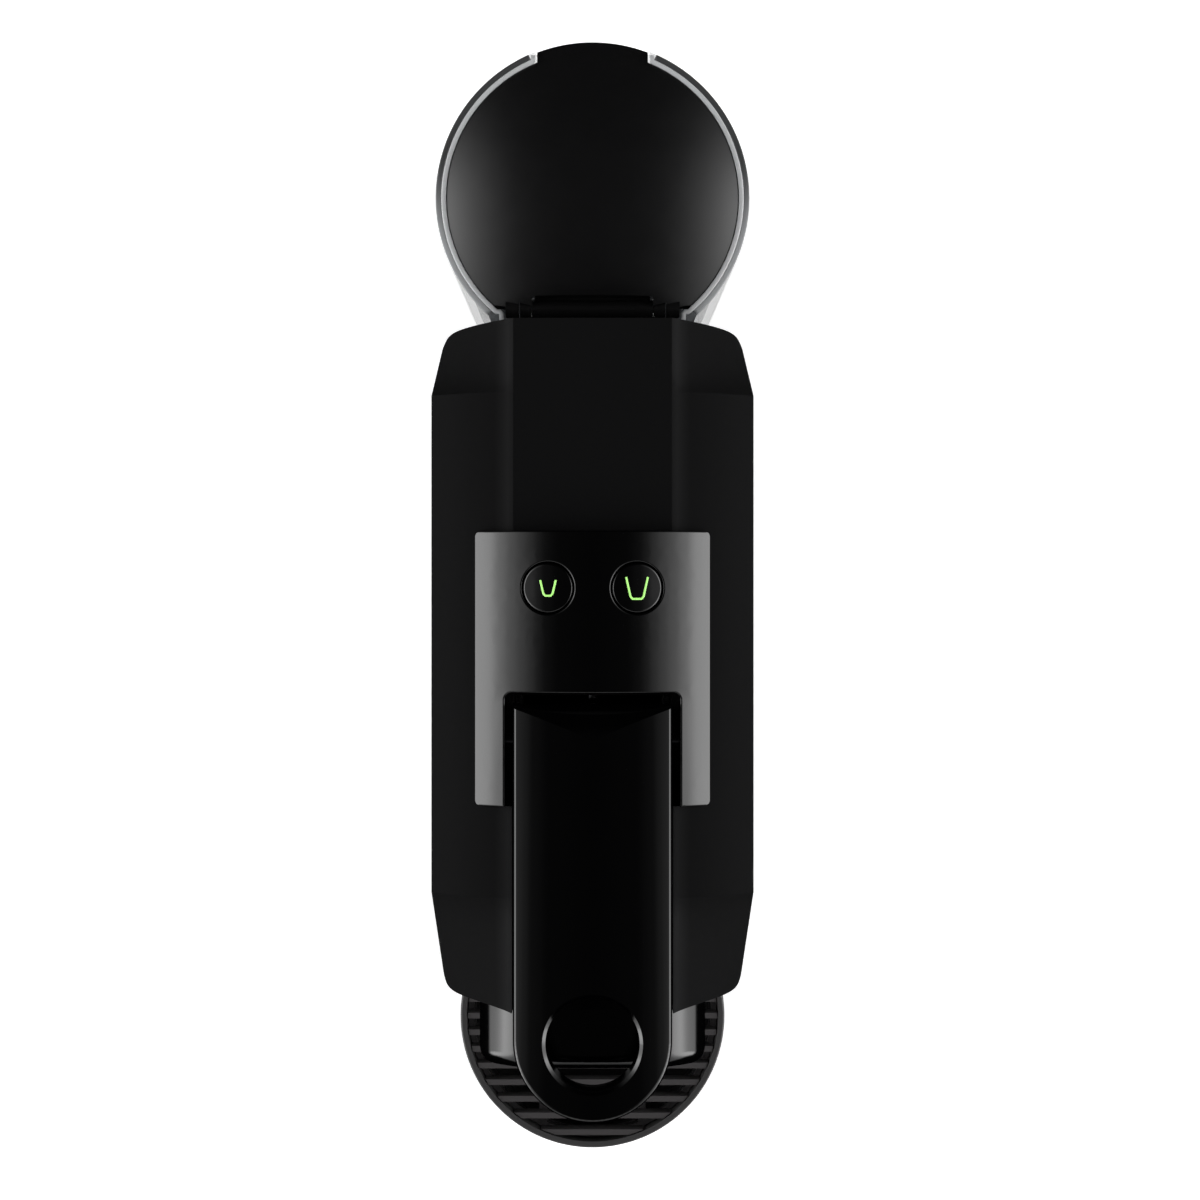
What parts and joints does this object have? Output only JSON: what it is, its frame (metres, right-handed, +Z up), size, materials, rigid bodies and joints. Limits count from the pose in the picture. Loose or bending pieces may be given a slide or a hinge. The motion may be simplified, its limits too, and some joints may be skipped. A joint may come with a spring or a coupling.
{
  "type": "pod coffee machine",
  "caption": "Narrow pod coffee machine with a round tank at the back, a lever with a finger hole, cup-size buttons and a round drip tray under the coffee outlet.",
  "frame": {"origin": "centre of the bounding box's bottom face, on the table under the middle of the machine", "axes": "+X across the machine to the right when seen from above with the tank at the top, +Y along its length towards the water tank, +Z up"},
  "size_m": [0.085, 0.328, 0.204],
  "materials": {
    "matte_black": "fine satin texture",
    "panel_black": "fine satin texture",
    "gloss_black": "polished",
    "lever_black": "polished",
    "button_black": "polished, with a lit green cup outline",
    "smoke_clear": "smoked clear plastic",
    "lid_black": "satin",
    "tray_black": "satin",
    "grid_grey": "satin",
    "bin_black": "satin",
    "frame_grey": "moulded",
    "cage_grey": "moulded",
    "steel": "brushed",
    "black_steel": "satin",
    "cast_alloy": "cast",
    "rubber_black": "matte",
    "silicone": "translucent white",
    "white_plastic": "moulded",
    "coil_black": "moulded",
    "board_green": "lacquered",
    "brass": "machined"
  },
  "bodies": {
    "housing": {"top_cover": "matte_black", "side_panel_right": "panel_black", "side_panel_left": "panel_black", "nose_cover": "gloss_black", "control_panel": "gloss_black", "base_plate": "matte_black", "tank_base": "matte_black", "cord_inlet_collar": "rubber_black", "rubber_feet": "rubber_black", "base_screws": "steel", "lever_pivot_pin": "black_steel", "brew_side_plates": "steel", "brew_front_wall": "frame_grey", "brew_rear_wall": "frame_grey", "thermoblock_arms": "frame_grey", "brew_unit_legs": "frame_grey", "extraction_plate": "steel", "water_lance": "steel", "coffee_outlet": "bin_black", "pump_body": "coil_black", "pump_rubber_mounts": "rubber_black", "pump_bracket": "frame_grey", "thermoblock": "cast_alloy", "heater_terminals": "white_plastic", "thermal_cutouts": "brass", "flow_meter": "white_plastic", "hose_tank_to_meter": "silicone", "hose_meter_to_pump": "silicone", "hose_pump_to_heater": "silicone", "tank_socket": "white_plastic", "button_board": "board_green", "button_switches": "coil_black", "button_board_screws": "steel", "power_board": "board_green", "power_board_parts": "coil_black", "power_board_rails": "frame_grey"},
    "lever": {"lever_cover": "lever_black", "lever_frame": "lever_black", "lever_cam_plates": "steel"},
    "cage": {"brew_cage": "cage_grey", "cage_drive_pins": "steel", "cage_guide_pins": "steel", "piercing_pins": "steel", "cage_seal": "silicone"},
    "small_cup_button": {"espresso_button": "button_black"},
    "large_cup_button": {"lungo_button": "button_black"},
    "plunger": {"pump_plunger": "steel"},
    "tank": {"water_tank": "smoke_clear", "lid_hinge_posts": "lid_black", "lid_hinge_pin": "steel", "tank_valve_seat": "silicone", "tank_valve_cage": "white_plastic"},
    "lid": {"tank_lid": "lid_black"},
    "valve": {"tank_valve_poppet": "white_plastic"},
    "tray": {"tray_drawer": "tray_black", "drip_tray": "tray_black", "tray_feet": "rubber_black", "capsule_container": "bin_black"},
    "grid": {"drip_grid": "grid_grey"}
  },
  "joints": [
    {"name": "lever_hinge", "type": "hinge", "parent": "housing", "child": "lever", "pos_m": [0, -0.023, 0.193], "axis": [-1, 0, 0], "range_deg": [0, 80]},
    {"name": "cage_slide", "type": "slide", "parent": "housing", "child": "cage", "axis": [0, 1, 0], "range_m": [0, 0.03]},
    {"name": "small_cup_press", "type": "slide", "parent": "housing", "child": "small_cup_button", "axis": [0, 0, -1], "range_m": [0, 0.0015], "stiffness_N_per_m": 400, "springref_m": -0.001},
    {"name": "large_cup_press", "type": "slide", "parent": "housing", "child": "large_cup_button", "axis": [0, 0, -1], "range_m": [0, 0.0015], "stiffness_N_per_m": 400, "springref_m": -0.001},
    {"name": "plunger_stroke", "type": "slide", "parent": "housing", "child": "plunger", "axis": [0, 0, 1], "range_m": [-0.0015, 0.0015], "stiffness_N_per_m": 2000},
    {"name": "tank_lift", "type": "slide", "parent": "housing", "child": "tank", "axis": [0, 0, 1], "range_m": [0, 0.15]},
    {"name": "lid_hinge", "type": "hinge", "parent": "tank", "child": "lid", "pos_m": [0, 0.0914, 0.1668], "axis": [1, 0, 0], "range_deg": [0, 80]},
    {"name": "valve_lift", "type": "slide", "parent": "tank", "child": "valve", "axis": [0, 0, 1], "range_m": [0, 0.0015], "stiffness_N_per_m": 200, "springref_m": -0.002},
    {"name": "tray_pull", "type": "slide", "parent": "housing", "child": "tray", "axis": [0, -1, 0], "range_m": [0, 0.12]},
    {"name": "grid_lift", "type": "slide", "parent": "tray", "child": "grid", "axis": [0, 0, 1], "range_m": [0, 0.055]}
  ],
  "couplings": [
    {"joint": "cage_slide", "follows": "lever_hinge", "m_per_rad": 0.021486}
  ]
}
